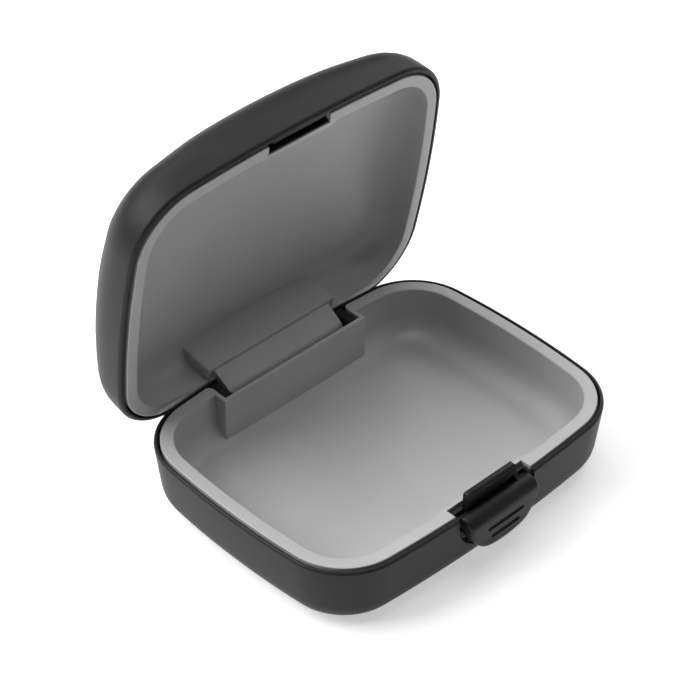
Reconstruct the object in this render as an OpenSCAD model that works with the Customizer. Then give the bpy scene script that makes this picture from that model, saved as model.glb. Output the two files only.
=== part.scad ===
// Small hinged hard case for a pair of hearing aids.
// Two hollow shells, each with a lighter liner, meet at one parting plane.
// The lid turns on a steel pin at the rear and stands open against a spring.
// A sprung lever at the front hooks behind a rib of the lid.

/* [Plan outline] */
// Width across the liner rims
rim_w = 77.6; // [72:0.1:88]
// Depth across the liner rims
rim_d = 59.6; // [57:0.1:68]
// Corner radius of the liner rims
corner_r = 15; // [13:0.1:17]

/* [Shells] */
// Height of the base from its resting face to the parting plane
base_h = 15.5; // [15.2:0.1:18]
// Height of the lid's round edge above its rim
lid_h = 15.2; // [14.8:0.1:16.5]
// Rise of the lid's crown above that edge
crown_rise = 0.7; // [0.5:0.05:1]
// Radius of the lid's domed top
dome_r = 300; // [280:5:340]
// Wall thickness of both shells
shell_t = 1.6; // [1.4:0.1:1.8]
// Inward lean of the base wall, in degrees
base_draft = 6; // [4:0.5:7]
// Radius of the base's bottom edge
base_edge_r = 8; // [7:0.1:8.4]
// Radius of the lid's top edge
lid_edge_r = 9.5; // [8.5:0.1:10]
// Height of the foot that the base stands on
foot_h = 0.4; // [0.3:0.05:0.6]
// Distance of the foot's edge inside the liner rim's outline
foot_in = 9.5; // [9:0.1:11]
// Thickness of the shell lip that shows round each liner
lip_t = 0.85; // [0.7:0.05:1]
// Width of the dark gap between a liner and its shell lip
lip_gap = 0.45; // [0.3:0.05:0.6]
// Gap between the two rims when the case is shut
parting_gap = 0.15; // [0.1:0.05:0.3]

/* [Liners] */
// Width of the base liner's rim
base_rim = 2.7; // [2.5:0.1:3]
// Width of the lid liner's rim
lid_rim = 2.6; // [2.5:0.1:3]
// Thickness of the liner flanges that sit on the shells' ledges
flange_t = 1.7; // [1.5:0.1:2]
// Wall thickness of both liners
liner_t = 1.2; // [1:0.1:1.3]
// Inward lean of the base liner's walls, in degrees
liner_draft = 3; // [2:0.5:4]
// Radius between a liner's wall and its floor
liner_fillet = 5; // [4:0.1:5.5]
// Depth of the base tray below its rim
tray_depth = 10.4; // [9.5:0.1:10.6]
// Depth of the lid's hollow at its middle
lid_depth = 9.7; // [9:0.1:10]
// Radius of the posts that hold the liners to the shells
post_r = 1.5; // [1.2:0.1:1.8]
// Clearance of a post in its socket
post_fit = 0.05; // [0.02:0.01:0.1]
// Distance of the posts from the middle, along the width
post_x = 22; // [18:0.5:24]
// Distance of the posts from the middle, along the depth
post_y = 13; // [10:0.5:15]

/* [Hinge] */
// Angle between the open lid and its shut place, in degrees
open_angle = 80.5; // [78:0.5:82]
// Distance of the hinge axis in front of the liner rim's rear edge
hinge_in = 1.1; // [1:0.05:1.3]
// Depth of the hinge axis below the base rim
hinge_drop = 2.7; // [2.65:0.05:2.85]
// Radius of the hinge pin
hinge_pin_r = 0.8; // [0.7:0.05:0.9]
// Radius of the lid's knuckle
knuckle_r = 2.3; // [2.2:0.05:2.4]
// Length of the lid's knuckle
knuckle_len = 30.6; // [28:0.2:32]
// Thickness of each hinge ear of the base
ear_t = 2; // [1.6:0.1:2.2]
// Gap between the knuckle and an ear
ear_gap = 0.3; // [0.2:0.05:0.4]
// Radius of the ears round the pin
ear_r = 1.75; // [1.6:0.05:1.85]
// Running clearance of the pin in the knuckle
pin_run = 0.05; // [0.02:0.01:0.08]
// Clearance of the pins in the holes that hold them
pin_hold = 0.02; // [0.01:0.005:0.04]
// Distance of the base liner's hinge box front behind the rim's inner edge
box_reach = 3.6; // [3.2:0.1:4]
// Wall thickness of the base liner's hinge box
box_t = 0.9; // [0.8:0.05:1.1]
// Gap between an ear and the end of the hinge box
box_end_gap = 0.3; // [0.2:0.05:0.5]
// Reach of the lid liner's hinge box in front of the rim's inner edge
lid_box_reach = 3.45; // [3:0.05:3.6]
// Length by which the lid's hinge box passes the knuckle at each end
lid_box_over = 1.6; // [1.2:0.1:1.8]
// Wall thickness of the lid's hinge box
lid_box_t = 1.3; // [1.1:0.1:1.5]
// Thickness of the neck between the lid and its knuckle
neck_t = 3.2; // [2.8:0.1:3.3]
// Depth of the rear notch's floor below the hinge axis
notch_drop = 1.35; // [1.3:0.05:1.6]
// Clearance round the knuckle and along the lid's rear edge
swing_gap = 0.3; // [0.2:0.05:0.4]
// Radius of the liner rim's corners at the ends of the hinge box
trough_corner_r = 1.5; // [1:0.1:2]

/* [Hinge spring] */
// Wire diameter
hinge_wire = 0.4; // [0.35:0.01:0.42]
// Radius of the coil at the middle of its wire
hinge_coil_r = 1.35; // [1.3:0.01:1.4]
// Number of turns
hinge_turns = 11; // [8:1:13]
// Distance from turn to turn
hinge_pitch = 0.88; // [0.85:0.01:0.95]
// Length of each straight end of the wire
hinge_leg = 1.1; // [0.8:0.1:1.3]
// Side of the coil where its ends leave, in degrees from the rear
leg_angle = 225; // [215:5:235]

/* [Latch] */
// Length of the lever along the front
latch_len = 18.8; // [17:0.1:20]
// Length of the lever's upper lip
latch_lip_len = 13; // [12:0.1:13.4]
// Gap at each end of the lever in its slot
latch_end_gap = 0.7; // [0.5:0.05:0.9]
// Height of the lip above the base rim
latch_lip_h = 2.8; // [2.6:0.05:3]
// Thickness of the lip
latch_lip_t = 1.2; // [1.1:0.05:1.25]
// Distance of the lip's back behind the liner rim's front edge
latch_lip_in = 1.55; // [1.5:0.05:1.65]
// Reach of the hook in front of the lip
hook_reach = 0.45; // [0.4:0.01:0.5]
// Height of the hook's underside above the base rim
hook_z = 1.9; // [1.85:0.05:2]
// Radius of the lever's round bulge
bulge_r = 2.5; // [2.3:0.05:2.6]
// Distance of the bulge's middle in front of the liner rim
bulge_out = 1.15; // [1:0.05:1.3]
// Depth of the bulge's middle below the base rim
bulge_drop = 3; // [2.9:0.05:3.2]
// Depth of the tongue's lower edge below the base rim
tongue_drop = 10.3; // [9.6:0.1:11]
// Thickness of the tongue at its lower edge
tongue_t = 0.9; // [0.7:0.05:1.1]
// Gap between the tongue and the base wall
tongue_gap = 0.9; // [0.7:0.05:1.2]
// Radius of the two grip grooves
grip_r = 0.45; // [0.3:0.05:0.6]
// Half length of the upper grip groove
grip_len = 4.85; // [4:0.05:5.5]
// Length by which the lower grip groove is shorter at each end
grip_less = 1; // [0.6:0.1:1.4]
// Depth of the upper grip groove below the base rim
grip_drop = 4.4; // [4.2:0.1:4.8]
// Distance from the upper to the lower grip groove
grip_step = 2.2; // [1.8:0.1:2.5]
// Radius of the latch pin
latch_pin_r = 0.6; // [0.5:0.05:0.65]
// Distance of the latch pin behind the liner rim's front edge
latch_pin_in = 0.3; // [0.25:0.05:0.35]
// Depth of the latch pin below the base rim
latch_pin_drop = 3.2; // [3.1:0.05:3.4]
// Thickness of the cheeks that hold the latch pin
cheek_t = 2.5; // [2:0.1:3]
// Depth of the slot in the front wall below the base rim
slot_drop = 6.4; // [6.2:0.1:7]
// Corner radius of the slot
slot_r = 1.8; // [1:0.1:2.2]
// Reach of the lid's catch rib inside its lip
catch_reach = 0.65; // [0.6:0.05:0.7]
// Height of the catch rib
catch_h = 1.2; // [1:0.1:1.3]
// Clearance between the hook and the catch rib
catch_gap = 0.15; // [0.1:0.05:0.2]
// Gap at each end of the lip in the lid's notch
notch_end_gap = 1.1; // [0.8:0.05:1.3]
// Gap behind the lip in the lid's notch
notch_back_gap = 0.75; // [0.7:0.05:0.9]
// Wall thickness of both liners behind the latch
notch_wall = 0.95; // [0.8:0.05:1.1]
// Length by which that wall passes the notch at each end
notch_wall_over = 1; // [0.8:0.1:1.3]
// Depth of the notch in the base liner's rim
base_notch_in = 2.5; // [2.3:0.05:2.6]

/* [Latch spring] */
// Wire diameter
latch_wire = 0.35; // [0.3:0.01:0.38]
// Radius of the coil at the middle of its wire
latch_coil_r = 1.05; // [1:0.01:1.1]
// Number of turns
latch_turns = 4; // [3:1:5]
// Distance from turn to turn
latch_pitch = 0.8; // [0.78:0.01:0.9]
// Length of each straight leg
latch_leg = 3; // [2.6:0.1:3.4]
// Room past each end of the coil
coil_end_gap = 0.35; // [0.2:0.05:0.5]

/* [Hidden] */
$fn = 96;
side_fn = 720;
corner_fn = 192;
eps = 0.01;
lap = 0.4;
far = 100;
per_turn = 8;
ring_turn = 360 / per_turn;
shell_grey = "#37383a";
latch_grey = "#242527";
liner_grey = "#a4a5a6";
steel_grey = "#b8bcc0";

// Plan outline: straight sides joined by corner arcs
half_w = rim_w / 2;
half_d = rim_d / 2;
corner_c = [half_w - corner_r, half_d - corner_r];

// Heights and offsets that several pieces share
shell_out = lip_gap + lip_t;
lid_z = base_h + parting_gap;
crown_h = lid_h + crown_rise;
tray_z = base_h - tray_depth;
ledge_z = base_h - flange_t;
floor_z = foot_h + shell_t;
rim_y = -half_d;
hinge_y = half_d - hinge_in;
hinge_z = base_h - hinge_drop;
latch_y = rim_y + latch_pin_in;
latch_z = base_h - latch_pin_drop;

// Hinge lengths, from the knuckle outwards
knuckle_end = knuckle_len / 2;
ear_in = knuckle_end + ear_gap;
ear_out = ear_in + ear_t;
trough_end = ear_out + box_end_gap;
box_end = trough_end + box_t;
lid_box_end = knuckle_end + lid_box_over;
box_front = half_d - base_rim - box_reach;
trough_front = box_front + box_t;
lid_box_front = half_d - lid_rim - lid_box_reach;
relief_r = norm([half_d + shell_out - hinge_y, hinge_drop]) + swing_gap / 2;
spring_pocket_r = hinge_coil_r + hinge_wire;
spring_len = hinge_turns * hinge_pitch;
leg_hole_r = hinge_wire / 2 + pin_run;

// Latch lengths
slot_half = latch_len / 2 + latch_end_gap;
lip_back = rim_y + latch_lip_in;
lip_front = lip_back - latch_lip_t;
lid_notch_half = latch_lip_len / 2 + notch_end_gap;
lid_notch_back = lip_back + notch_back_gap;
base_notch_half = slot_half - latch_end_gap / 2;
base_notch_back = rim_y + base_notch_in;
catch_z = base_h + hook_z - catch_gap - catch_h;
bulge_y = rim_y - bulge_out;
bulge_z = base_h - bulge_drop;
latch_spring_len = latch_turns * latch_pitch;

function along(angle) = [cos(angle), sin(angle)];

// Base wall's outer offset at a height
function base_wall(z) = shell_out - tan(base_draft) * (base_h - z);

// Slice of a disc between two angles
module pie(r, from, to) {
    intersection() {
        circle(r);
        polygon([[0, 0], 2 * r * along(from), 2 * r * along((from + to) / 2), 2 * r * along(to)]);
    }
}

// Section of a filled tray: a leaning wall over a round foot
module tray_section(top, top_z, foot_z, draft, r) {
    mid = [top - tan(draft) * (top_z - foot_z - r) - r / cos(draft), foot_z + r];
    touch = mid + r * along(-draft);
    polygon([[-corner_r, foot_z], [mid.x, foot_z], mid, touch, [top, top_z], [-corner_r, top_z]]);
    translate(mid) pie(r, -90, -draft);
}

// Section of a filled cap: an upright wall under a round top edge
module cap_section(top, rim_z, roof_z, r) {
    mid = [top - r, roof_z - r];
    polygon([[-corner_r, rim_z], [top, rim_z], [top, mid.y], mid, [mid.x, roof_z], [-corner_r, roof_z]]);
    translate(mid) pie(r, 0, 90);
}

// Section of a filled slab with an upright edge
module slab_section(off, z0, z1) {
    polygon([[-corner_r, z0], [off, z0], [off, z1], [-corner_r, z1]]);
}

// Sweeps a filled section round the outline and fills the middle between two heights.
// The section's x is the offset outwards from the outline and its y is the height.
module swept(z0, z1) {
    k = corner_c;
    block([-k.x, -k.y, z0], [k.x, k.y, z1]);
    for (turn = [0, 1]) {
        mirror([0, turn, 0]) translate([-k.x, half_d, 0]) rotate([90, 0, 90])
            linear_extrude(2 * k.x) children();
        mirror([turn, 0, 0]) translate([half_w, k.y, 0]) rotate([90, 0, 0])
            linear_extrude(2 * k.y) children();
    }
    for (mx = [0, 1], my = [0, 1]) mirror([mx, 0, 0]) mirror([0, my, 0])
        translate(k) rotate_extrude(angle = 90, $fn = corner_fn) translate([corner_r, 0]) children();
}

// Filled tray, filled cap and filled slab of the plan outline
module tray(top, top_z, foot_z, draft, r) {
    swept(foot_z, top_z) tray_section(top, top_z, foot_z, draft, r);
}

module cap(top, rim_z, roof_z, r) {
    swept(rim_z, roof_z) cap_section(top, rim_z, roof_z, r);
}

module slab(off, z0, z1) {
    swept(z0, z1) slab_section(off, z0, z1);
}

// Cylinder along the width, centred on a point of the side view
module rod(y, z, r, x0, x1) {
    translate([x0, y, z]) rotate([90, 0, 90]) cylinder(r = r, h = x1 - x0);
}

// Block from one corner to the other
module block(low, high) {
    translate(low) cube(high - low);
}

// The same thing at both ends of the width
module both_ends() {
    for (m = [0, 1]) mirror([m, 0, 0]) children();
}

// The same thing at the four post places
module four_posts() {
    for (sx = [-1, 1], sy = [-1, 1]) translate([sx * post_x, sy * post_y, 0]) children();
}

// Swings a closed lid piece to its open place
module opened() {
    translate([0, hinge_y, hinge_z]) rotate([-open_angle, 0, 0]) translate([0, -hinge_y, -hinge_z]) children();
}

// Wide round block whose top is the dome, at a given height of its crown
module dome(crown_z, r) {
    translate([0, 0, crown_z - r]) rotate_extrude($fn = side_fn) intersection() {
        circle(r, $fn = side_fn);
        translate([0, r - rim_w]) square(rim_w);
    }
}

// Round wire along a path; each ring keeps one corner on its outward direction
module wire(path, outward, d, sides = 6) {
    n = len(path);
    rings = [for (i = [0 : n - 1])
        let (t = path[min(i + 1, n - 1)] - path[max(i - 1, 0)],
             along_wire = t / norm(t),
             e1 = outward[i],
             e2 = cross(along_wire, e1))
        for (k = [0 : sides - 1])
            path[i] + d / 2 * (cos(360 * k / sides) * e1 + sin(360 * k / sides) * e2 / norm(e2))];
    walls = [for (i = [0 : n - 2], k = [0 : sides - 1])
        let (a = i * sides + k, b = i * sides + (k + 1) % sides)
        each [[a, a + sides, b], [b, a + sides, b + sides]]];
    start_cap = [for (k = [1 : sides - 2]) [0, k, k + 1]];
    end_cap = [for (k = [1 : sides - 2]) (n - 1) * sides * [1, 1, 1] + [0, k + 1, k]];
    polyhedron(rings, concat(start_cap, walls, end_cap));
}

// Least distance between turns of a wire, less its diameter
function wire_gap(path, d) =
    min([for (i = [0 : len(path) - 1], j = [i + per_turn / 2 : 1 : len(path) - 1])
        norm(path[i] - path[j])]) - d;

// Outer tray of the base
module base_shell() {
    socket_r = post_r + post_fit + shell_t / 2;
    socket_top = tray_z - liner_t - swing_gap;
    color(shell_grey) difference() {
        union() {
            difference() {
                union() {
                    tray(shell_out, base_h, foot_h, base_draft, base_edge_r);
                    slab(-foot_in, 0, foot_h + lap);
                }
                tray(base_wall(ledge_z) - shell_t / cos(base_draft), ledge_z + lap, floor_z,
                     base_draft, base_edge_r - shell_t);
                slab(lip_gap, ledge_z, base_h + lap);
            }
            four_posts() translate([0, 0, floor_z - lap])
                cylinder(r = socket_r, h = socket_top - floor_z + lap);
            both_ends() hinge_ear();
            both_ends() latch_cheek();
        }
        four_posts() translate([0, 0, floor_z]) cylinder(r = post_r + post_fit, h = far);
        rear_notch();
        latch_slot();
        rod(hinge_y, hinge_z, hinge_pin_r + pin_hold, -ear_out - eps, ear_out + eps);
        rod(latch_y, latch_z, latch_pin_r + pin_hold, -slot_half - cheek_t - eps, slot_half + cheek_t + eps);
        hinge_leg_hole(leg_angle, ear_in - eps, ear_in + hinge_leg);
    }
}

// Ear of the base that holds one end of the hinge pin, on a bracket from the rear wall
module hinge_ear() {
    ear_front = hinge_y - knuckle_r;
    rod(hinge_y, hinge_z, ear_r, ear_in, ear_out);
    block([ear_in, ear_front, base_h / 2], [ear_out, hinge_y + ear_r / 2, hinge_z]);
}

// Cheek beside the slot that holds one end of the latch pin
module latch_cheek() {
    cheek_back = rim_y + base_rim - liner_t - pin_run;
    block([slot_half, latch_y - latch_pin_r, latch_z - 2 * latch_pin_r],
          [slot_half + cheek_t, cheek_back, ledge_z - pin_run]);
}

// Notch of the rear wall that the knuckle and its neck swing in
module rear_notch() {
    block([-ear_in, trough_front, hinge_z - notch_drop], [ear_in, half_d + far, base_h + far]);
    rod(hinge_y, hinge_z, knuckle_r + swing_gap, -ear_in, ear_in);
}

// Slot of the front wall that the lever sits in, with round lower corners
module latch_slot() {
    low = base_h - slot_drop;
    slot_y = rim_y - shell_out - eps;
    deep = 2 * shell_out + shell_t;
    block([-slot_half, slot_y, low + slot_r], [slot_half, slot_y + deep, base_h + far]);
    block([-slot_half + slot_r, slot_y, low], [slot_half - slot_r, slot_y + deep, base_h]);
    both_ends() translate([slot_half - slot_r, slot_y, low + slot_r]) rotate([-90, 0, 0])
        cylinder(r = slot_r, h = deep);
}

// Hole for a straight end of the hinge spring, on a given side of the pin
module hinge_leg_hole(angle, x0, x1) {
    spot = hinge_coil_r * along(angle);
    rod(hinge_y + spot.x, hinge_z + spot.y, leg_hole_r, x0, x1);
}

// Inner tray of the base
module base_liner() {
    color(liner_grey) difference() {
        union() {
            difference() {
                union() {
                    tray(-base_rim + liner_t, ledge_z + lap, tray_z - liner_t, liner_draft,
                         liner_fillet + liner_t);
                    slab(0, ledge_z, base_h);
                }
                tray(-base_rim, base_h + lap, tray_z, liner_draft, liner_fillet);
            }
            block([-box_end, box_front, tray_z - liner_t / 2], [box_end, trough_front + base_rim, base_h]);
            block([-base_notch_half - notch_wall_over, base_notch_back - liner_t / 4, tray_z - liner_t / 2],
                  [base_notch_half + notch_wall_over, base_notch_back + notch_wall, base_h]);
            four_posts() translate([0, 0, floor_z + swing_gap])
                cylinder(r = post_r, h = tray_z - liner_t / 2 - floor_z - swing_gap);
        }
        block([-trough_end, trough_front, -far], [trough_end, half_d + far, far]);
        block([-base_notch_half, rim_y - far, base_h - slot_drop - latch_leg],
              [base_notch_half, base_notch_back, base_h + far]);
        both_ends() trough_corner();
    }
}

// Round corner of the liner rim at an end of the hinge trough
module trough_corner() {
    edge = trough_end + trough_corner_r;
    translate([edge, half_d - trough_corner_r, 0]) difference() {
        block([-trough_corner_r - eps, 0, -far], [0, far, far]);
        translate([0, 0, -far]) cylinder(r = trough_corner_r, h = 2 * far);
    }
}

// Steel pin of the hinge
module hinge_pin() {
    color(steel_grey) rod(hinge_y, hinge_z, hinge_pin_r, -ear_out, ear_out);
}

// Torsion spring round the hinge pin, inside the right end of the knuckle
module hinge_spring() {
    steps = hinge_turns * per_turn;
    first = knuckle_end - hinge_wire;
    coil = [for (i = [0 : steps])
        [first - hinge_pitch * i / per_turn, hinge_coil_r * along(leg_angle + ring_turn * i)]];
    centres = [for (c = coil) [c[0], c[1].x, c[1].y]];
    out = [for (c = coil) [0, c[1].x, c[1].y] / hinge_coil_r];
    into_ear = centres[0] + [ear_in + hinge_leg - hinge_wire - first, 0, 0];
    into_lid = centres[steps] - [hinge_leg, 0, 0];
    path = concat([into_ear], centres, [into_lid]);
    echo(hinge_spring_least_gap = wire_gap(centres, hinge_wire));
    color(steel_grey) translate([0, hinge_y, hinge_z])
        wire(path, concat([out[0]], out, [out[steps]]), hinge_wire);
}

// Filled lid, shut: a cap under a dome
module lid_body(top, rim_z, roof_z, crown_z, r, ball) {
    intersection() {
        cap(top, rim_z, roof_z, r);
        dome(crown_z, ball);
    }
}

// Outer lid
module lid_shell() {
    ledge = lid_z + flange_t;
    socket_low = lid_z + lid_depth + swing_gap;
    color(shell_grey) opened() difference() {
        union() {
            difference() {
                lid_body(shell_out, lid_z, lid_z + lid_h, lid_z + crown_h, lid_edge_r, dome_r);
                lid_body(shell_out - shell_t, ledge - lap, lid_z + lid_h - shell_t,
                         lid_z + crown_h - shell_t, lid_edge_r - shell_t, dome_r - shell_t);
                slab(lip_gap, lid_z - lap, ledge);
            }
            four_posts() translate([0, 0, socket_low])
                cylinder(r = post_r + post_fit + shell_t / 2, h = lid_z + lid_h - shell_t - socket_low);
            catch_rib();
        }
        four_posts() translate([0, 0, socket_low - eps]) cylinder(r = post_r + post_fit, h = flange_t);
        catch_pocket();
        both_ends() lid_relief();
    }
}

// Pocket inside the lid's front wall that the lip and its hook stand in, past the rib
module catch_pocket() {
    pocket_top = base_h + latch_lip_h + catch_h;
    difference() {
        block([-lid_notch_half, rim_y - lip_gap, lid_z - lap], [lid_notch_half, lip_back, pocket_top]);
        catch_rib();
    }
}

// Rib of the lid that the hook catches behind
module catch_rib() {
    half = latch_lip_len / 2;
    block([-half, rim_y - lip_gap - lip_t / 2, catch_z],
          [half, rim_y - lip_gap + catch_reach, catch_z + catch_h]);
}

// Hollow along the lid's rear edge that clears the base's rear rim as the lid swings
module lid_relief() {
    rod(hinge_y, hinge_z, relief_r, knuckle_end + ear_gap / 2, corner_c.x + corner_r / 2);
}

// Inner lid with its hinge box and knuckle
module lid_liner() {
    ledge = lid_z + flange_t;
    roof = lid_z + lid_depth;
    post_fall = dome_r - sqrt(dome_r * dome_r - post_x * post_x - post_y * post_y);
    post_low = roof + liner_t / 2 - max(post_fall, crown_rise);
    color(liner_grey) opened() difference() {
        union() {
            difference() {
                union() {
                    lid_body(-lid_rim + liner_t, ledge - lap, roof + liner_t - crown_rise,
                             roof + liner_t, liner_fillet + liner_t, dome_r - shell_t);
                    slab(0, lid_z, ledge);
                }
                difference() {
                    lid_body(-lid_rim, lid_z - lap, roof - crown_rise, roof, liner_fillet,
                             dome_r - shell_t - liner_t);
                    block([-lid_box_end, lid_box_front, 0], [lid_box_end, far, far]);
                    block([-lid_notch_half - notch_wall_over, -far, 0],
                          [lid_notch_half + notch_wall_over, lid_notch_back + notch_wall, far]);
                }
            }
            knuckle();
            four_posts() translate([0, 0, post_low]) cylinder(r = post_r, h = roof + flange_t - post_low);
        }
        block([-lid_notch_half, -far, lid_z - far],
              [lid_notch_half, lid_notch_back, base_h + latch_lip_h + catch_h]);
        block([-lid_box_end + lid_box_t, lid_box_front + lid_box_t, ledge],
              [lid_box_end - lid_box_t, half_d - lid_rim, far]);
        rod(hinge_y, hinge_z, hinge_pin_r + pin_run, -knuckle_end - eps, knuckle_end + eps);
        rod(hinge_y, hinge_z, spring_pocket_r, knuckle_end - spring_len - 2 * hinge_wire, knuckle_end + eps);
        hinge_leg_hole(leg_angle + open_angle, knuckle_end - spring_len - 2 * hinge_wire - hinge_leg,
                       knuckle_end);
        both_ends() lid_relief();
    }
}

// Knuckle of the lid with the neck that joins it to the hinge box
module knuckle() {
    neck_front = half_d - neck_t;
    rod(hinge_y, hinge_z, knuckle_r, -knuckle_end, knuckle_end);
    block([-knuckle_end, neck_front, hinge_z], [knuckle_end, half_d, lid_z + flange_t / 2]);
}

// Side view of the lever's body: pivot, bulge and tongue
module lever_section() {
    wall_y = rim_y - base_wall(base_h - slot_drop);
    tongue_back = wall_y - tongue_gap;
    tip_z = base_h - tongue_drop;
    bulge_front = bulge_y - bulge_r;
    translate([bulge_y, bulge_z]) circle(bulge_r);
    translate([latch_y, latch_z]) circle(2 * latch_pin_r + latch_wire / 2);
    polygon([[bulge_front, bulge_z], [bulge_front + tongue_t / 4, base_h - grip_drop - grip_step],
             [tongue_back - tongue_t - tongue_gap / 4, tip_z], [tongue_back - tongue_gap / 4, tip_z],
             [tongue_back, base_h - slot_drop], [bulge_y, bulge_z - bulge_r / 2], [bulge_y, bulge_z]]);
}

// Side view of the lip with its hook
module lip_section() {
    top = base_h + latch_lip_h;
    under = base_h + hook_z;
    nose = lip_front - hook_reach;
    slope = latch_lip_t / 4;
    polygon([[lip_front, latch_z], [lip_back, latch_z], [lip_back, top - slope], [lip_back - slope, top],
             [lip_front + slope, top], [nose, under + slope], [nose, under], [lip_front, under]]);
}

// Front lever with its lip, bulge and gripped tongue
module latch_lever() {
    half = latch_len / 2;
    grip_y = bulge_y - bulge_r;
    round_z = base_h - tongue_drop + half;
    color(latch_grey) difference() {
        union() {
            intersection() {
                translate([-half, 0, 0]) rotate([90, 0, 90]) linear_extrude(latch_len) lever_section();
                union() {
                    block([-half, -far, round_z], [half, far, far]);
                    translate([0, -far, round_z]) rotate([-90, 0, 0]) cylinder(r = half, h = 2 * far);
                }
            }
            translate([-latch_lip_len / 2, 0, 0]) rotate([90, 0, 90])
                linear_extrude(latch_lip_len) lip_section();
        }
        rod(latch_y, latch_z, latch_pin_r + pin_run, -half - eps, half + eps);
        rod(grip_y, base_h - grip_drop, grip_r, -grip_len, grip_len);
        rod(grip_y, base_h - grip_drop - grip_step, grip_r, -grip_len + grip_less, grip_len - grip_less);
        latch_spring_pocket();
    }
}

// Room for the latch spring's coil and legs at the back of the lever
module latch_spring_pocket() {
    half = (latch_spring_len + latch_wire) / 2 + coil_end_gap;
    room = latch_coil_r + latch_wire;
    rod(latch_y, latch_z, room, -half, half);
    block([-half, latch_y, latch_z - far], [half, far, latch_z]);
    block([latch_spring_len / 2 - latch_wire, latch_y + latch_coil_r - latch_wire, latch_z],
          [half, far, latch_z + latch_leg + latch_wire]);
}

// Steel pin of the latch
module latch_pin() {
    color(steel_grey) rod(latch_y, latch_z, latch_pin_r, -slot_half - cheek_t, slot_half + cheek_t);
}

// Torsion spring round the latch pin; one leg braces on the liner, the other bears on the lip
module latch_spring() {
    steps = latch_turns * per_turn;
    lean = base_notch_back - latch_wire - latch_y - latch_coil_r;
    centres = [for (i = [0 : steps])
        let (spot = latch_coil_r * along(ring_turn * i))
        [latch_spring_len * i / steps - latch_spring_len / 2, spot.x, spot.y]];
    out = [for (c = centres) [0, c.y, c.z] / latch_coil_r];
    foot = centres[0] + [0, lean, -latch_leg];
    tip = centres[steps] + [0, 0, latch_leg];
    echo(latch_spring_least_gap = wire_gap(centres, latch_wire));
    color(steel_grey) translate([0, latch_y, latch_z])
        wire(concat([foot], centres, [tip]), concat([out[0]], out, [out[steps]]), latch_wire);
}

base_shell();
base_liner();
hinge_pin();
hinge_spring();
lid_shell();
lid_liner();
latch_lever();
latch_pin();
latch_spring();
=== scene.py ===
import math

import bpy
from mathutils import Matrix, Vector


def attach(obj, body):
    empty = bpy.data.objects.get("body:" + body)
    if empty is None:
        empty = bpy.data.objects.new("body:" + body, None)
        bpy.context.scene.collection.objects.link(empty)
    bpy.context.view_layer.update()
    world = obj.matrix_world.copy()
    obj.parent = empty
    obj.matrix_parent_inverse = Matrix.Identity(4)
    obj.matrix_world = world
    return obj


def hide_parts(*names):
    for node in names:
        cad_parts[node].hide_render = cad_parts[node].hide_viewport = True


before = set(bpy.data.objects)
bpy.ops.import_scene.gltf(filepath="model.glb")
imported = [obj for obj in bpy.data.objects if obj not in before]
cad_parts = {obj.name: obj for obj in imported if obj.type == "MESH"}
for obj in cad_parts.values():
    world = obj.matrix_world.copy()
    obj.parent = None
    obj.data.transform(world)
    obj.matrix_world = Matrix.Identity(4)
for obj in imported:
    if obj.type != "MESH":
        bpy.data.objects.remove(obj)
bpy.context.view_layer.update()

# ------------------------------------------------------------------ Base shell
# The outer tray that the case stands on: charcoal plastic with a fine satin texture, moulded in one piece.
# Its sides bow out a little, its wall leans in towards a round bottom edge, and a thin lip runs round the liner.
# A D-shaped slot at the front takes the latch, and two ears at the rear hold the hinge pin.

MM = 0.001
WELD = 0.001 * MM
NEAR = 0.01  # closer than this counts as on a plane, in millimetres like all sizes below
PAST_Y, PAST_Z = 40, 30  # ends of cutting bodies, well past the part
SMOOTH_BELOW = math.radians(32)
HALF_WIDTH = 39.0
HALF_DEPTH = 30.05
LONG_BOW = 316.0  # radius of the bow along each side
SHORT_BOW = 188.0
CORNER = (25.18, 15.90)  # centre of the corner's arc
BASE_Z = 15.5
HINGE_Y, HINGE_Z = 28.7, 12.8
LIP_GAP, LIP_OUT = 0.5, 1.3
LIP_DROP = 0.2
FOOT_Z = 0.4
FLAT_IN = 9.5  # where a wall's profile ends in the flat floor
STEP_H = 1.7  # depth of the step that a liner's rim rests on
SHELL_T = 1.6
FLOOR_Z = 2
BASE_DRAFT = math.radians(6)
BOTTOM_R, BOTTOM_IN_R = 5.8, 4.2
REAR_NOTCH_X, REAR_NOTCH_Y, REAR_NOTCH_Z = 15.6, 24.4, 11.45
EAR_X = 17.95
SLOT_X, SLOT_TIP_Z, SLOT_R = 10.1, 4.4, 9.9
CHEEK_IN, CHEEK_OUT, CHEEK_Z = 6.9, 10.05, BASE_Z - 0.7
SIDE_IN = 9.45


def only(piece):
    """Leaves edit mode and selects this object and nothing else."""
    if bpy.context.mode != "OBJECT":
        bpy.ops.object.mode_set(mode="OBJECT")
    bpy.ops.object.select_all(action="DESELECT")
    piece.select_set(True)
    bpy.context.view_layer.objects.active = piece


def pick(piece, test, kind="VERT"):
    """Goes into edit mode with just the parts selected that pass the test, in millimetres, at all their points.

    A vertex has one point, a face its middle, and an edge its two ends and its middle.
    """
    only(piece)
    bpy.ops.object.mode_set(mode="EDIT")
    bpy.ops.mesh.select_mode(type=kind)
    bpy.ops.mesh.select_all(action="DESELECT")
    bpy.ops.object.mode_set(mode="OBJECT")
    mesh = piece.data
    for part in {"VERT": mesh.vertices, "EDGE": mesh.edges, "FACE": mesh.polygons}[kind]:
        if kind == "EDGE":
            first, last = (mesh.vertices[i].co for i in part.vertices)
            points = (first, last, (first + last) / 2)
        else:
            points = (part.co if kind == "VERT" else part.center,)
        part.select = all(test(point / MM) for point in points) and not part.hide
    bpy.ops.object.mode_set(mode="EDIT")


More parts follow.
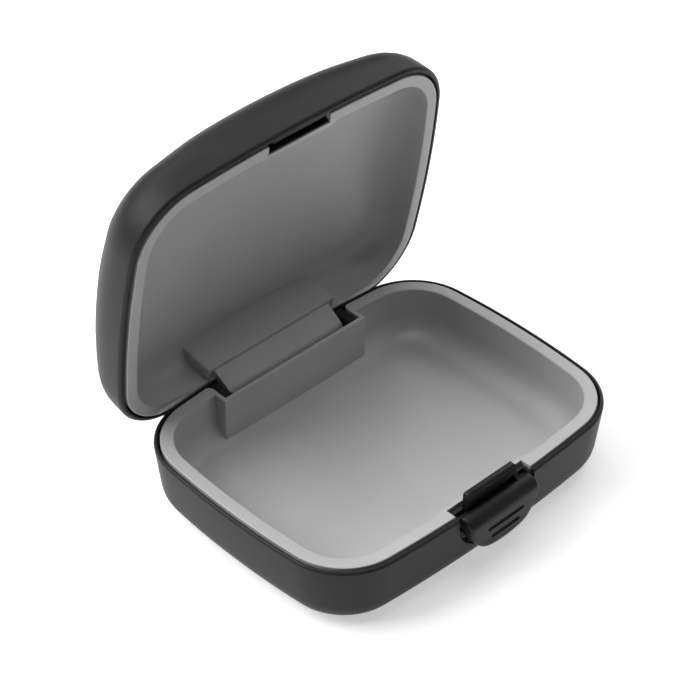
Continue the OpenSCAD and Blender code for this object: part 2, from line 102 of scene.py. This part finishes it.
def eased(piece, test, width, segments, kind="VERT"):
    """Rounds the edges between the parts that pass the test."""
    pick(piece, test, kind)
    bpy.ops.mesh.bevel(offset=width * MM, segments=segments, affect="EDGES")
    bpy.ops.object.mode_set(mode="OBJECT")


def rounded(corners, closed=False, degrees=12.0):
    """Turns corners (u, v, radius) of an outline into points, with an arc at each corner that has a radius."""
    points = []
    for i, (u, v, radius) in enumerate(corners):
        at = Vector((u, v))
        if not radius or (not closed and i in (0, len(corners) - 1)):
            points.append((u, v))
            continue
        back = (Vector(corners[i - 1][:2]) - at).normalized()
        on = (Vector(corners[(i + 1) % len(corners)][:2]) - at).normalized()
        opening = back.angle(on)
        middle = at + (back + on).normalized() * radius / math.sin(opening / 2)
        start = at + back * radius / math.tan(opening / 2) - middle
        turn = (math.pi - opening) * (1 if back.x * on.y - back.y * on.x < 0 else -1)
        steps = max(2, math.ceil(math.degrees(abs(turn)) / degrees))
        for k in range(steps + 1):
            c, s = math.cos(turn * k / steps), math.sin(turn * k / steps)
            points.append((middle.x + c * start.x - s * start.y, middle.y + s * start.x + c * start.y))
    return points


def trace(name, points, spot):
    """Draws an outline by extruding a vertex from point to point. spot gives a point's place, in millimetres."""
    bpy.ops.object.select_all(action="DESELECT")
    bpy.ops.mesh.primitive_plane_add(size=MM)
    piece = bpy.context.object
    piece.name = piece.data.name = name
    bpy.ops.object.mode_set(mode="EDIT")
    bpy.ops.mesh.select_mode(type="VERT")
    bpy.ops.mesh.select_all(action="SELECT")
    bpy.ops.mesh.merge(type="CENTER")
    path = [Vector(spot(u, v)) * MM for u, v in points]
    bpy.ops.transform.translate(value=path[0])
    for here, there in zip(path, path[1:]):
        bpy.ops.mesh.extrude_vertices_move(TRANSFORM_OT_translate={"value": there - here})
    bpy.ops.mesh.select_all(action="SELECT")
    return piece


def swept(name, profile):
    """Spins a wall's profile (offset outwards, height) round a quarter of the outline and mirrors it twice."""
    piece = trace(name, profile, lambda off, z: (0, HALF_DEPTH + off, z))
    long_turn = math.atan2(CORNER[0], CORNER[1] - HALF_DEPTH + LONG_BOW)
    short_turn = math.atan2(CORNER[1], CORNER[0] - HALF_WIDTH + SHORT_BOW)
    for centre, turn, steps in (
        ((0, HALF_DEPTH - LONG_BOW), long_turn, 10),
        (CORNER, math.pi / 2 - long_turn - short_turn, 24),
        ((HALF_WIDTH - SHORT_BOW, 0), short_turn, 8),
    ):
        bpy.ops.mesh.spin(steps=steps, angle=turn, center=Vector((*centre, 0)) * MM, axis=(0, 0, 1))
    bpy.ops.object.mode_set(mode="OBJECT")
    only(piece)
    bpy.ops.object.modifier_add(type="MIRROR")
    mirror = piece.modifiers[-1]
    mirror.use_axis = (True, True, False)
    mirror.merge_threshold = WELD
    bpy.ops.object.modifier_apply(modifier=mirror.name)
    bpy.ops.object.mode_set(mode="EDIT")
    bpy.ops.mesh.select_all(action="SELECT")
    bpy.ops.mesh.remove_doubles(threshold=WELD)
    bpy.ops.mesh.fill_holes(sides=0)
    bpy.ops.mesh.select_all(action="SELECT")
    bpy.ops.mesh.normals_make_consistent(inside=False)
    bpy.ops.object.mode_set(mode="OBJECT")
    return piece


def prism(name, points, spot, depth):
    """Fills a closed outline and extrudes it by depth, in millimetres."""
    piece = trace(name, points + points[:1], spot)
    bpy.ops.mesh.remove_doubles(threshold=WELD)
    bpy.ops.mesh.edge_face_add()
    bpy.ops.mesh.extrude_region_move(TRANSFORM_OT_translate={"value": Vector(depth) * MM})
    bpy.ops.mesh.select_all(action="SELECT")
    bpy.ops.mesh.normals_make_consistent(inside=False)
    bpy.ops.object.mode_set(mode="OBJECT")
    return piece


def block(name, low, high, soften=0.0, test=None):
    """A box from corner to corner; the edges between vertices that pass the test are rounded."""
    low, high = Vector(low), Vector(high)
    bpy.ops.object.select_all(action="DESELECT")
    bpy.ops.mesh.primitive_cube_add(size=MM)
    piece = bpy.context.object
    piece.name = piece.data.name = name
    bpy.ops.object.mode_set(mode="EDIT")
    bpy.ops.transform.resize(value=high - low)
    bpy.ops.transform.translate(value=(low + high) / 2 * MM)
    bpy.ops.object.mode_set(mode="OBJECT")
    if soften:
        eased(piece, test or (lambda p: True), soften, 4)
    return piece


def rod(name, y, z, radius, x0, x1):
    """A round bar along the width, for a bore, a boss or a hollow."""
    bpy.ops.object.select_all(action="DESELECT")
    bpy.ops.mesh.primitive_cylinder_add(
        vertices=64, radius=radius * MM, depth=(x1 - x0) * MM, rotation=(0, math.pi / 2, 0),
        location=Vector(((x0 + x1) / 2, y, z)) * MM,
    )
    piece = bpy.context.object
    piece.name = piece.data.name = name
    bpy.ops.object.transform_apply(location=True, rotation=True, scale=True)
    return piece


def combine(piece, other, operation="DIFFERENCE"):
    """Cuts the other body out of this one, or joins or intersects the two."""
    only(piece)
    bpy.ops.object.modifier_add(type="BOOLEAN")
    step = piece.modifiers[-1]
    step.object, step.operation, step.solver = other, operation, "EXACT"
    bpy.ops.object.modifier_apply(modifier=step.name)
    bpy.data.objects.remove(other)


def finished(piece):
    """Cleans the mesh and shades it smooth between its sharp edges."""
    only(piece)
    bpy.ops.object.mode_set(mode="EDIT")
    bpy.ops.mesh.select_all(action="SELECT")
    bpy.ops.mesh.remove_doubles(threshold=WELD)
    bpy.ops.mesh.dissolve_degenerate(threshold=WELD)
    bpy.ops.object.mode_set(mode="OBJECT")
    bpy.ops.object.shade_smooth_by_angle(angle=SMOOTH_BELOW)


class Shade:
    """A shader socket that takes part in arithmetic and adds the nodes that feed it."""

    def __init__(self, tree, socket=None):
        self.tree, self.socket = tree, socket

    def node(self, kind, settings=None, inputs=None, output=0):
        made = self.tree.nodes.new("ShaderNode" + kind)
        for key, value in (settings or {}).items():
            if key == "stops":
                for stop, (place, level) in zip(made.color_ramp.elements, value):
                    stop.position, stop.color = place, (level, level, level, 1)
            else:
                setattr(made, key, value)
        for key, value in (inputs or {}).items():
            if isinstance(value, Shade):
                self.tree.links.new(value.socket, made.inputs[key])
            else:
                made.inputs[key].default_value = value
        return Shade(self.tree, made.outputs[output])

    def sum(self, operation, first, second):
        return self.node("Math", {"operation": operation}, {0: first, 1: second})

    def __add__(self, other): return self.sum("ADD", self, other)
    def __radd__(self, other): return self.sum("ADD", other, self)
    def __sub__(self, other): return self.sum("SUBTRACT", self, other)
    def __rmul__(self, other): return self.sum("MULTIPLY", other, self)


def plastic(name, dark, light, rough, grain, depth, mottle, specular):
    """Moulded plastic: a faint cloudy tone, a fine spark texture in relief, and gloss that varies with it."""
    material = bpy.data.materials.new(name)
    material.use_nodes = True
    tree = material.node_tree
    surface = tree.nodes["Principled BSDF"]
    surface.inputs["Specular IOR Level"].default_value = specular
    start = Shade(tree)
    place = start.node("TexCoord", output="Object")
    cloud = start.node("TexNoise", None, {"Vector": place, "Scale": mottle, "Detail": 3.0, "Roughness": 0.55})
    spark = start.node("TexNoise", None, {"Vector": place, "Scale": grain, "Detail": 2.0, "Roughness": 0.6})
    pits = start.node(
        "TexVoronoi", {"feature": "SMOOTH_F1"}, {"Vector": place, "Scale": 0.7 * grain, "Smoothness": 0.6})
    tone = start.node("ValToRGB", {"stops": ((0.3, 0.0), (0.7, 1.0))}, {"Fac": 0.8 * cloud + 0.2 * spark})
    colour = start.node(
        "Mix", {"data_type": "RGBA"}, {"Factor": tone, "A": (*dark, 1), "B": (*light, 1)}, output="Result")
    tree.links.new(colour.socket, surface.inputs["Base Color"])
    gloss = rough - 0.05 + 0.1 * spark + 0.06 * (cloud - 0.5)
    tree.links.new(gloss.socket, surface.inputs["Roughness"])
    relief = start.node(
        "Bump", None, {"Strength": 0.35, "Distance": depth * MM, "Height": 0.6 * spark + 0.4 * pits}, output="Normal")
    tree.links.new(relief.socket, surface.inputs["Normal"])
    return material


wall_lean = math.tan(BASE_DRAFT) * BASE_Z
base_shell = swept("base_shell_moulding", rounded([
    (-FLAT_IN, 0, 0),
    (-FLAT_IN, FOOT_Z, 0),
    (LIP_OUT - wall_lean, FOOT_Z, BOTTOM_R),
    (LIP_OUT, BASE_Z - LIP_DROP, 0.6),
    (LIP_GAP, BASE_Z - LIP_DROP, 0.12),
    (LIP_GAP, BASE_Z - STEP_H, 0),
    (-0.5, BASE_Z - STEP_H, 0),
    (LIP_OUT - wall_lean - SHELL_T, FLOOR_Z, BOTTOM_IN_R),
    (-FLAT_IN, FLOOR_Z, 0),
]))
for side in (-1, 1):
    x0, x1 = sorted((side * REAR_NOTCH_X, side * EAR_X))
    ear = block("ear", (x0, 25.0, 7.5), (x1, 29.95, BASE_Z - 0.35), 0.5, lambda p: p.z > HINGE_Z)
    combine(base_shell, ear, "UNION")
combine(base_shell, prism("rear_notch", [
    (REAR_NOTCH_Y, REAR_NOTCH_Z), (PAST_Y, REAR_NOTCH_Z), (PAST_Y, PAST_Z), (REAR_NOTCH_Y, PAST_Z),
], lambda y, z: (-REAR_NOTCH_X, y, z), (2 * REAR_NOTCH_X, 0, 0)))
combine(base_shell, rod("knuckle_room", HINGE_Y, HINGE_Z, 2.6, -REAR_NOTCH_X, REAR_NOTCH_X))
combine(base_shell, prism("latch_slot", rounded([
    (-SLOT_X, PAST_Z, 0), (-SLOT_X, SLOT_TIP_Z, SLOT_R), (SLOT_X, SLOT_TIP_Z, SLOT_R), (SLOT_X, PAST_Z, 0),
], True, 6), lambda x, z: (x, -PAST_Y, z), (0, 13.2, 0)))
for side in (-1, 1):
    x0, x1 = sorted((side * CHEEK_IN, side * CHEEK_OUT))
    combine(base_shell, block("latch_cheek", (x0, -28.75, 4.5), (x1, -27.65, CHEEK_Z)), "UNION")
    x0, x1 = sorted((side * SIDE_IN, side * CHEEK_OUT))
    combine(base_shell, block("slot_side", (x0, -30.3, 9), (x1, -28.4, CHEEK_Z)), "UNION")
finished(base_shell)
charcoal = plastic(
    "charcoal_shell", (0.0160, 0.0160, 0.0162), (0.0212, 0.0212, 0.0215),
    rough=0.46, grain=5200, depth=0.012, mottle=130, specular=0.22)
base_shell.data.materials.append(charcoal)
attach(base_shell, "base")
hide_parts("base_shell")

# ------------------------------------------------------------------ Base liner
# The tray inside the base: mid grey plastic with a smooth satin face, moulded in one piece and held by posts below.
# Its flat rim stands a hair above the shell's lip. A U-shaped wall at the rear screens the hinge, and a notch at
# the front, with a thin wall behind it, leaves room for the latch.

BASE_RIM = 2.7
TRAY_Z = 5.1
LINER_T = 1.2
TROUGH_X, TROUGH_Y = 18.1, 24.65
TROUGH_FLARE = 4
BOX_X, BOX_Y, BOX_END = 19.0, 23.75, 27.8
WALL_SINK = 0.6  # how far the upright walls reach into the floor
WALL_EASE = 0.12

base_liner = swept("base_liner_tray", rounded([
    (-FLAT_IN, TRAY_Z, 0),
    (-BASE_RIM - 0.45, TRAY_Z, 5),
    (-BASE_RIM, BASE_Z, 0.3),
    (0, BASE_Z, 0.22),
    (0, BASE_Z - STEP_H, 0),
    (-1.45, BASE_Z - STEP_H, 0),
    (-BASE_RIM + 0.75, TRAY_Z - LINER_T, 6.2),
    (-FLAT_IN, TRAY_Z - LINER_T, 0),
]))
hinge_box = prism("hinge_box", rounded([
    (-BOX_X, BOX_END, 0), (-BOX_X, BOX_Y, 0.3), (BOX_X, BOX_Y, 0.3), (BOX_X, BOX_END, 0),
    (TROUGH_X, BOX_END, 0), (TROUGH_X, TROUGH_Y, 0), (-TROUGH_X, TROUGH_Y, 0), (-TROUGH_X, BOX_END, 0),
], True, 30), lambda x, y: (x, y, TRAY_Z - WALL_SINK), (0, 0, BASE_Z - TRAY_Z + WALL_SINK))
eased(hinge_box, lambda p: p.z > BASE_Z - NEAR, WALL_EASE, 3)
combine(base_liner, hinge_box, "UNION")
notch_wall = prism("notch_wall", [(-12.3, -27.85), (-11.1, -26.65), (11.1, -26.65), (12.3, -27.85)],
                   lambda x, y: (x, y, TRAY_Z - WALL_SINK), (0, 0, BASE_Z - TRAY_Z + WALL_SINK))
eased(notch_wall, lambda p: p.z > BASE_Z - NEAR, WALL_EASE, 3)
combine(base_liner, notch_wall, "UNION")
combine(base_liner, prism("trough", rounded([
    (-TROUGH_X, TROUGH_Y, 0), (TROUGH_X, TROUGH_Y, 0), (TROUGH_X, 29.6, 1.5), (TROUGH_X + TROUGH_FLARE, 29.45, 0),
    (TROUGH_X + TROUGH_FLARE, PAST_Y, 0), (-TROUGH_X - TROUGH_FLARE, PAST_Y, 0),
    (-TROUGH_X - TROUGH_FLARE, 29.45, 0), (-TROUGH_X, 29.6, 1.5),
], True), lambda x, y: (x, y, -5), (0, 0, 40)))
combine(base_liner, block("front_notch", (-SLOT_X, -PAST_Y, 6.0), (SLOT_X, -27.55, PAST_Z)))
finished(base_liner)
liner_grey = plastic(
    "grey_liner", (0.460, 0.461, 0.463), (0.505, 0.506, 0.508),
    rough=0.40, grain=4200, depth=0.006, mottle=55, specular=0.8)
base_liner.data.materials.append(liner_grey)
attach(base_liner, "base")
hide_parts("base_liner")

# ------------------------------------------------------------------ Lid shell
# The outer lid: the same charcoal plastic as the base, with upright walls, a broad round edge and a low dome.
# A rib inside its front lip catches the latch's hook, a thin lining darkens the notch behind that rib, and a hollow
# along the rear lip clears the base as it swings.

LID_Z = 15.65
LID_H = 15.6
CROWN_Z = LID_Z + LID_H
LID_LIP_OUT = 1.6
LID_DRAFT = math.radians(1.25)
UPRIGHT_Z = LID_Z + 3  # the dome changes nothing below this
NOTCH_X, NOTCH_TOP = 7.8, LID_Z + 4
OPEN_TURN = math.radians(80.5)
DOME = 290.0  # radius
CORNER_FALL, CORNER_REACH = 0.8, 14


def domed(piece, roofs, keep_below):
    """Cuts the flat roofs into a grid, bends all above a height to a dome and lets its corners fall a little more."""
    for axis in (0, 1):
        for k in range(-5, 6):
            pick(piece, lambda p: min(abs(p.z - z) for z in roofs) < NEAR, "FACE")
            plane = Vector((0, 0, 0))
            plane[axis] = 1
            bpy.ops.mesh.bisect(plane_co=plane * 5 * k * MM, plane_no=plane)
            bpy.ops.object.mode_set(mode="OBJECT")
    pick(piece, lambda p: p.z < keep_below)
    bpy.ops.mesh.hide(unselected=False)
    pick(piece, lambda p: math.hypot(p.x, p.y) < NEAR)
    bpy.ops.transform.translate(
        value=(0, 0, DOME * MM), use_proportional_edit=True, proportional_edit_falloff="SPHERE",
        proportional_size=DOME * MM)
    bpy.ops.mesh.select_all(action="SELECT")
    bpy.ops.transform.translate(value=(0, 0, -DOME * MM))
    for x, y in ((-28.5, -20.5), (28.5, -20.5), (-28.5, 20.5), (28.5, 20.5)):
        pick(piece, lambda p: math.hypot(p.x - x, p.y - y) < 2.5)
        bpy.ops.transform.translate(
            value=(0, 0, -CORNER_FALL * MM), use_proportional_edit=True, proportional_edit_falloff="SMOOTH",
            proportional_size=CORNER_REACH * MM)
    bpy.ops.mesh.reveal(select=False)
    bpy.ops.object.mode_set(mode="OBJECT")


def swung_open(piece):
    """Turns a shut lid piece about the hinge to where the lid stands open."""
    only(piece)
    bpy.ops.object.mode_set(mode="EDIT")
    bpy.ops.mesh.select_all(action="SELECT")
    bpy.ops.transform.rotate(
        value=OPEN_TURN, orient_axis="X", center_override=Vector((0, HINGE_Y, HINGE_Z)) * MM)
    bpy.ops.object.mode_set(mode="OBJECT")


def rear_relief(side):
    """A cone along the hinge that clears the base's bowed rear lip on one side of the knuckle."""
    bpy.ops.object.select_all(action="DESELECT")
    bpy.ops.mesh.primitive_cone_add(
        vertices=64, radius1=3.6 * MM, radius2=2.9 * MM, depth=15.85 * MM, rotation=(0, side * math.pi / 2, 0),
        location=Vector((side * 23.375, HINGE_Y, HINGE_Z)) * MM,
    )
    bpy.ops.object.transform_apply(location=True, rotation=True, scale=True)
    return bpy.context.object


lid_lean = math.tan(LID_DRAFT) * LID_H
lid_shell = swept("lid_shell_moulding", rounded([
    (-FLAT_IN, CROWN_Z, 0),
    (LID_LIP_OUT - lid_lean, CROWN_Z, 8.3),
    (LID_LIP_OUT, LID_Z + LIP_DROP, 0.85),
    (LIP_GAP, LID_Z + LIP_DROP, 0.12),
    (LIP_GAP, LID_Z + STEP_H, 0),
    (-0.3, LID_Z + STEP_H, 0),
    (-0.65, CROWN_Z - SHELL_T, 6.7),
    (-FLAT_IN, CROWN_Z - SHELL_T, 0),
]))
domed(lid_shell, (CROWN_Z, CROWN_Z - SHELL_T), UPRIGHT_Z)
combine(lid_shell, block("catch_pocket", (-NOTCH_X, -30.4, LID_Z - 2), (NOTCH_X, -27.0, NOTCH_TOP)))
combine(lid_shell, prism("notch_lining", [
    (-30.0, LID_Z + 3.6), (-28.15, LID_Z + 3.6), (-28.15, LID_Z + 0.3), (-27.92, LID_Z + 0.3), (-27.92, NOTCH_TOP),
    (-30.0, NOTCH_TOP),
], lambda y, z: (0.05 - NOTCH_X, y, z), (2 * NOTCH_X - 0.1, 0, 0)), "UNION")
combine(lid_shell, block("catch_rib", (-6.5, -30.8, LID_Z + 0.4), (6.5, -29.65, LID_Z + 1.6), 0.15), "UNION")
for side in (-1, 1):
    combine(lid_shell, rear_relief(side))
swung_open(lid_shell)
finished(lid_shell)
lid_shell.data.materials.append(charcoal)
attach(lid_shell, "lid")
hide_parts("lid_shell")

# ------------------------------------------------------------------ Lid liner
# The inner lid: the same grey plastic as the tray, with a flat rim and a gently domed ceiling, moulded in one piece.
# A solid box at its rear carries the long knuckle that turns on the hinge pin. A notch at its front takes the latch.

LID_RIM = 2.6
CEILING_Z = LID_Z + 10.1
LID_BOX_X, LID_BOX_Y = 16.9, 24.0
KNUCKLE_X, KNUCKLE_R = 15.3, 2.3
BORE_R = 0.85

lid_liner = swept("lid_liner_tray", rounded([
    (-FLAT_IN, CEILING_Z, 0),
    (-LID_RIM - 0.27, CEILING_Z, 5),
    (-LID_RIM, LID_Z, 0.3),
    (0, LID_Z, 0.22),
    (0, LID_Z + STEP_H, 0),
    (-1.4, LID_Z + STEP_H, 0),
    (-LID_RIM + 0.95, CEILING_Z + LINER_T, 6.2),
    (-FLAT_IN, CEILING_Z + LINER_T, 0),
]))
domed(lid_liner, (CEILING_Z, CEILING_Z + LINER_T), UPRIGHT_Z)
lid_box = block("lid_hinge_box", (-LID_BOX_X, LID_BOX_Y, LID_Z), (LID_BOX_X, 28.3, LID_Z + 9.6), 0.3,
                lambda p: p.y < LID_BOX_Y + NEAR)
combine(lid_liner, lid_box, "UNION")
neck = prism("neck", [
    (24.9, LID_Z + 0.9), (24.9, LID_Z), (26.6, HINGE_Z - 0.94), (HINGE_Y, HINGE_Z), (29.8, HINGE_Z),
    (29.8, LID_Z + 0.9),
], lambda y, z: (-KNUCKLE_X, y, z), (2 * KNUCKLE_X, 0, 0))
combine(lid_liner, neck, "UNION")
combine(lid_liner, rod("knuckle", HINGE_Y, HINGE_Z, KNUCKLE_R, -KNUCKLE_X, KNUCKLE_X), "UNION")
lid_notch_wall = prism("lid_notch_wall", [(-10.0, -28.0), (-8.7, -26.7), (8.7, -26.7), (10.0, -28.0)],
                       lambda x, y: (x, y, LID_Z), (0, 0, 9.4))
eased(lid_notch_wall, lambda p: p.z < LID_Z + NEAR, 0.2, 3)
combine(lid_liner, lid_notch_wall, "UNION")
combine(lid_liner, block("lid_notch", (-NOTCH_X, -PAST_Y, LID_Z - 2), (NOTCH_X, -27.9, NOTCH_TOP)))
combine(lid_liner, rod("pin_bore", HINGE_Y, HINGE_Z, BORE_R, -KNUCKLE_X - 1, KNUCKLE_X + 1))
for side in (-1, 1):
    combine(lid_liner, rear_relief(side))
swung_open(lid_liner)
finished(lid_liner)
lid_liner.data.materials.append(liner_grey)
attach(lid_liner, "lid")
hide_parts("lid_liner")

# ------------------------------------------------------------------ Latch lever
# The thumb latch: near-black satin plastic, moulded in one piece. A lip with a small hook stands behind a round
# bulge, with a web at one end, and a D-shaped tongue with two grip grooves hangs in front of the base's wall.

LEVER_X = 9.2
LIP_X = 6.5
LEVER_TIP_Z = 5.2
LEVER_EDGE_R = 0.65
WEB_X, WEB_T = 5.7, 1.05
GROOVE_Y, GROOVE_R = -33.5, 0.5

latch_lever = prism("latch_lever_body", rounded([
    (-29.2, 14.1, 0), (-29.9, 14.1, 0.3), (-30.2, 15.15, 0.9), (-33.5, 15.1, 2.6), (-33.43, 7.4, 5),
    (-32.36, LEVER_TIP_Z - 1, 0), (-31.4, LEVER_TIP_Z - 1, 0), (-31.35, 9.1, 0), (-30.4, 11.2, 0), (-29.2, 11.2, 0),
], True, 8), lambda y, z: (-LEVER_X, y, z), (2 * LEVER_X, 0, 0))
combine(latch_lever, prism("tongue_outline", rounded([
    (-LEVER_X, PAST_Z, 0), (-LEVER_X, LEVER_TIP_Z, LEVER_X - 0.1), (LEVER_X, LEVER_TIP_Z, LEVER_X - 0.1),
    (LEVER_X, PAST_Z, 0),
], True, 5), lambda x, z: (x, -45, z), (0, 30, 0)), "INTERSECT")
lip = prism("latch_lip", rounded([
    (-29.5, 12.6, 0), (-28.25, 12.6, 0), (-28.25, 18.3, 0.2), (-29.3, 18.3, 0.3), (-29.85, 17.7, 0.2),
    (-29.5, 17.05, 0.4),
], True), lambda y, z: (-LIP_X - 1, y, z), (2 * LIP_X + 2, 0, 0))
combine(lip, prism("lip_outline", rounded([
    (-LIP_X, 12, 0), (LIP_X, 12, 0), (LIP_X, 18.33, 0.8), (-LIP_X, 18.33, 0.6),
], True), lambda x, z: (x, -32, z), (0, 8, 0)), "INTERSECT")
combine(latch_lever, lip, "UNION")
combine(latch_lever, prism("lip_web", rounded([
    (-28.45, 13.0, 0), (-28.45, 17.6, 0.1), (-28.9, 17.2, 0.5), (-29.6, 15.9, 0.8), (-30.5, 15.25, 0.5),
    (-31.9, 14.9, 0), (-31.9, 13.0, 0),
], True), lambda y, z: (WEB_X, y, z), (WEB_T, 0, 0)), "UNION")
for z, reach in ((11.1, 4.85), (8.9, 3.85)):
    bpy.ops.object.select_all(action="DESELECT")
    bpy.ops.mesh.primitive_uv_sphere_add(
        segments=24, ring_count=16, radius=GROOVE_R * MM, location=Vector((0, GROOVE_Y, z)) * MM,
        rotation=(0, math.pi / 2, 0))
    groove = bpy.context.object
    bpy.ops.object.transform_apply(location=True, rotation=True, scale=True)
    for side in (-1, 1):
        pick(groove, lambda p: side * p.x > 0.001)
        bpy.ops.transform.translate(value=(side * (reach - GROOVE_R) * MM, 0, 0))
        bpy.ops.object.mode_set(mode="OBJECT")
    combine(latch_lever, groove)
round_z = LEVER_TIP_Z + LEVER_X
eased(latch_lever, lambda p: math.hypot(p.x, min(0, p.z - round_z)) > LEVER_X - 0.05 and p.y < -30.25
      and (p.y < -32.2 or p.z > 14), LEVER_EDGE_R, 5, "EDGE")
finished(latch_lever)
latch_black = plastic(
    "black_latch", (0.0080, 0.0080, 0.0082), (0.0112, 0.0112, 0.0115),
    rough=0.42, grain=5200, depth=0.010, mottle=220, specular=0.25)
latch_lever.data.materials.append(latch_black)
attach(latch_lever, "latch")
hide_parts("latch_lever")

# ------------------------------------------------------------------ Pins and springs
# Two drawn steel pins that the lid and the latch turn on, and two torsion springs wound from spring wire.
# They are pressed in when the case is put together and hardly show.


def drawn_steel(name, dark, light, rough):
    """Drawn wire: bright metal with fine lines along the draw and a few duller patches."""
    material = bpy.data.materials.new(name)
    material.use_nodes = True
    tree = material.node_tree
    surface = tree.nodes["Principled BSDF"]
    surface.inputs["Metallic"].default_value = 1.0
    start = Shade(tree)
    place = start.node("TexCoord", output="Object")
    stretched = start.node("Mapping", None, {"Vector": place, "Scale": (300, 9000, 9000)})
    lines = start.node("TexNoise", None, {"Vector": stretched, "Scale": 1.0, "Detail": 2.0})
    patches = start.node("TexNoise", None, {"Vector": place, "Scale": 700, "Detail": 2.0})
    colour = start.node(
        "Mix", {"data_type": "RGBA"}, {"Factor": 0.6 * lines + 0.4 * patches, "A": (*dark, 1), "B": (*light, 1)},
        output="Result")
    tree.links.new(colour.socket, surface.inputs["Base Color"])
    gloss = rough + 0.15 * patches
    tree.links.new(gloss.socket, surface.inputs["Roughness"])
    relief = start.node("Bump", None, {"Strength": 0.25, "Distance": 0.01 * MM, "Height": lines}, output="Normal")
    tree.links.new(relief.socket, surface.inputs["Normal"])
    return material


pin_steel = drawn_steel("pin_steel", (0.42, 0.43, 0.45), (0.62, 0.63, 0.64), rough=0.22)
spring_steel = drawn_steel("spring_steel", (0.32, 0.33, 0.35), (0.52, 0.53, 0.55), rough=0.28)
for node, metal in (("hinge_pin", pin_steel), ("latch_pin", pin_steel),
                    ("hinge_spring", spring_steel), ("latch_spring", spring_steel)):
    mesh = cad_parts[node].data
    mesh.materials.clear()
    mesh.materials.append(metal)

# ------------------------------------------------------------------ Studio
# A white table under five soft boxes: the strongest at the rear left, and weaker ones overhead, behind and right.
# The camera looks down at the case's front left, from where its long lens shows it nearly without perspective.

TABLE_LIFT = 0.49
AMBIENT = 0.012
SOFT_BOX = 0.7
AIM = Vector((0, 0, 0.02))

bpy.ops.object.select_all(action="DESELECT")
bpy.ops.mesh.primitive_plane_add(size=6)
table = bpy.context.object
table.name = table.data.name = "table"
white = bpy.data.materials.new("white_table")
white.use_nodes = True
tree = white.node_tree
tree.nodes.remove(tree.nodes["Principled BSDF"])
start = Shade(tree)
matt = start.node("BsdfDiffuse", None, {"Color": (0.88, 0.88, 0.88, 1)})
seen = sum((start.node("LightPath", output=kind) for kind in ("Is Glossy Ray", "Is Transmission Ray")),
           start.node("LightPath", output="Is Camera Ray"))
lift = start.node("Emission", None, {"Color": (1, 1, 1, 1), "Strength": TABLE_LIFT * seen})
both = start.node("AddShader", None, {0: matt, 1: lift})
tree.links.new(both.socket, tree.nodes["Material Output"].inputs["Surface"])
table.data.materials.append(white)

world = bpy.data.worlds.new("studio")
bpy.context.scene.world = world
world.use_nodes = True
world.node_tree.nodes["Background"].inputs["Color"].default_value = (1, 1, 1, 1)
world.node_tree.nodes["Background"].inputs["Strength"].default_value = AMBIENT

for name, place, watts in (
    ("rear_left", (-0.55, 0.5, 0.7), 9.2),
    ("overhead", (0, 0, 1.0), 3.0),
    ("rear", (0.1, 0.75, 0.7), 2.6),
    ("right", (0.8, 0.25, 0.6), 3.2),
    ("front_right", (0.6, -0.6, 0.55), 0.8),
):
    lamp = bpy.data.lights.new(name, "AREA")
    lamp.size, lamp.energy = SOFT_BOX, watts
    holder = bpy.data.objects.new(name, lamp)
    bpy.context.scene.collection.objects.link(holder)
    holder.location = place
    holder.rotation_euler = (AIM - Vector(place)).to_track_quat("-Z", "Y").to_euler()

lens = bpy.data.cameras.new("camera")
lens.lens, lens.sensor_width = 133.9, 36.0
lens.clip_start, lens.clip_end = 0.01, 20.0
camera = bpy.data.objects.new("camera", lens)
bpy.context.scene.collection.objects.link(camera)
camera.location = (-0.26083, -0.26050, 0.33560)
camera.rotation_euler = (math.radians(50.732), 0, math.radians(-43.813))
bpy.context.scene.camera = camera
bpy.context.scene.view_settings.view_transform = "Standard"
